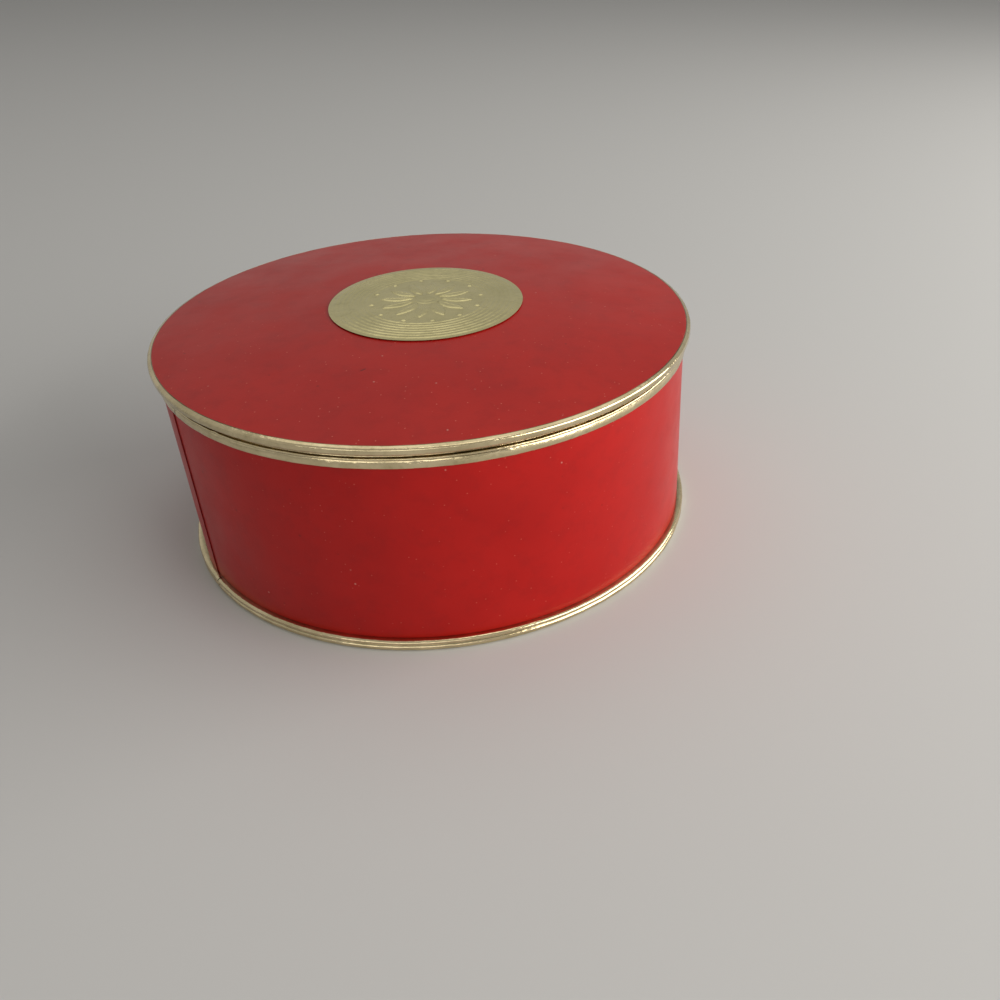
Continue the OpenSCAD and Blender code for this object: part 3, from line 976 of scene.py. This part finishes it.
# One stitch: a short thread whose two ends dip into the cloth.
deselect()
bpy.ops.mesh.primitive_cylinder_add(
    vertices=thread_sides, radius=thread_radius, depth=stitch_length, rotation=(0, math.pi / 2, 0))
stitch = bpy.context.object
bpy.ops.object.transform_apply(location=True, rotation=True, scale=True)
bpy.ops.object.mode_set(mode="EDIT")
bpy.ops.mesh.select_all(action="SELECT")
for i in range(3):
    bpy.ops.mesh.bisect(plane_co=((i - 1) * stitch_length * stitch_bend, 0, 0), plane_no=(1, 0, 0))
    bpy.ops.mesh.select_all(action="SELECT")
bpy.ops.mesh.normals_make_consistent(inside=False)
bpy.ops.object.mode_set(mode="OBJECT")
for vertex in stitch.data.vertices:
    share = 2 * vertex.co.x / stitch_length
    vertex.co.z = vertex.co.z * (1 - stitch_taper * share * share) - stitch_dip * share ** 4
    vertex.co.y *= 1 - stitch_taper * share * share

places = []
for side in (-1, 1):
    for hem in (strap_span / 2 + hem_inset, strap_half - hem_inset):
        for i in range(hem_stitches):
            y = (i - (hem_stitches - 1) / 2) * stitch_pitch
            places.append((side * hem, y, ribbon_height(side * hem, y) + ribbon_thickness / 2, math.pi / 2))
for i in range(edge_stitches):
    angle = math.tau * i / edge_stitches
    x, y = edge_reach * math.cos(angle), edge_reach * math.sin(angle)
    places.append((x, y, satin_height(x, y), angle + math.pi / 2))

deselect()
for x, y, z, heading in places:
    copy = stitch.copy()
    copy.data = stitch.data.copy()
    bpy.context.scene.collection.objects.link(copy)
    copy.location = (x, y, z + thread_radius * 0.5)
    copy.rotation_euler.z = heading
    copy.select_set(True)
    bpy.context.view_layer.objects.active = copy
bpy.ops.object.join()
stitches = bpy.context.object
stitches.name = "stitches"
stitches.data.name = "stitches"
bpy.ops.object.transform_apply(location=True, rotation=True, scale=True)
bpy.data.objects.remove(stitch)
smooth(stitches, 60)


def make_thread():
    """Twisted cotton."""
    material, shader, place = new_material("cotton thread")
    strands = speckle(material, stretch(material, place, (1, 1, 0.4)), 5200, 2)
    link(material, mixed(material, strands, (0.70, 0.56, 0.40), (0.88, 0.77, 0.60)), shader, "Base Color")
    shader.inputs["Roughness"].default_value = 0.7
    bumped(material, shader, strands, 0.05 * mm)
    return material


dress(stitches, make_thread(), "puff", "satin")


# Floor, light and camera
# A plain pale floor under soft light, with the main light from the right, seen from the front and
# above as in the photograph.
deselect()
bpy.ops.mesh.primitive_plane_add(size=8, location=(0, 0, 0))
floor = bpy.context.object
floor.name = "floor"
floor_material, floor_shader = new_material("plain floor")[:2]
floor_shader.inputs["Base Color"].default_value = (0.60, 0.60, 0.60, 1)
floor_shader.inputs["Roughness"].default_value = 0.9
floor.data.materials.append(floor_material)

world = bpy.data.worlds.new("studio")
bpy.context.scene.world = world
world.use_nodes = True
surroundings = world.node_tree.nodes["Background"]
surroundings.inputs["Color"].default_value = (1.0, 0.98, 0.93, 1)

# The surroundings are paler where they are seen directly or in the metal than as light on things.
fill_level = 0.23
seen_level = 0.2
rays = add_node(world, "ShaderNodeLightPath").outputs
seen = calculate(world, "MAXIMUM", rays["Is Camera Ray"], rays["Is Glossy Ray"])
level = calculate(world, "MULTIPLY_ADD", seen, seen_level, fill_level)
link(world, level, surroundings, "Strength")
light_aim = Vector((0, 0, 30 * mm))


def add_light(name, place, width, height, level):
    """A soft flat lamp that faces the box. Its level is the brightness of its face."""
    lamp = bpy.data.lights.new(name, "AREA")
    lamp.shape = "RECTANGLE"
    lamp.size = width
    lamp.size_y = height
    lamp.energy = level * math.pi * width * height
    lamp.color = (1.0, 0.97, 0.91)
    holder = bpy.data.objects.new(name, lamp)
    bpy.context.scene.collection.objects.link(holder)
    holder.location = place
    holder.rotation_euler = (light_aim - Vector(place)).to_track_quat("-Z", "Y").to_euler()
    holder.visible_camera = False


add_light("window", place=(0.72, -0.13, 0.28), width=1.25, height=0.48, level=4.5)
add_light("front strip", place=(-0.25, -1.25, 0.30), width=1.3, height=0.34, level=1.35)
add_light("overhead", place=(0.15, -0.15, 1.3), width=0.5, height=0.5, level=1.5)
add_light("top panel", place=(0.0, 0.50, 1.05), width=1.4, height=0.7, level=0.5)

# The camera was worked out from the outlines of the lid, the medallion and the rims.
film_width = 36
photo_size = 1000
photo_focal = 960
photo_middle = 610
camera_pitch = math.radians(33.47)
camera_place = (44.02 * mm, -218.77 * mm, 91.09 * mm + lid_edge)
lens = bpy.data.cameras.new("photo camera")
lens.sensor_width = film_width
lens.lens = film_width * photo_focal / photo_size
lens.shift_x = (photo_size / 2 - photo_middle) / photo_size
lens.clip_start = 0.01
camera = bpy.data.objects.new("photo camera", lens)
bpy.context.scene.collection.objects.link(camera)
camera.location = camera_place
camera.rotation_euler = (math.pi / 2 - camera_pitch, 0, 0)
bpy.context.scene.camera = camera
bpy.context.scene.view_settings.view_transform = "Standard"
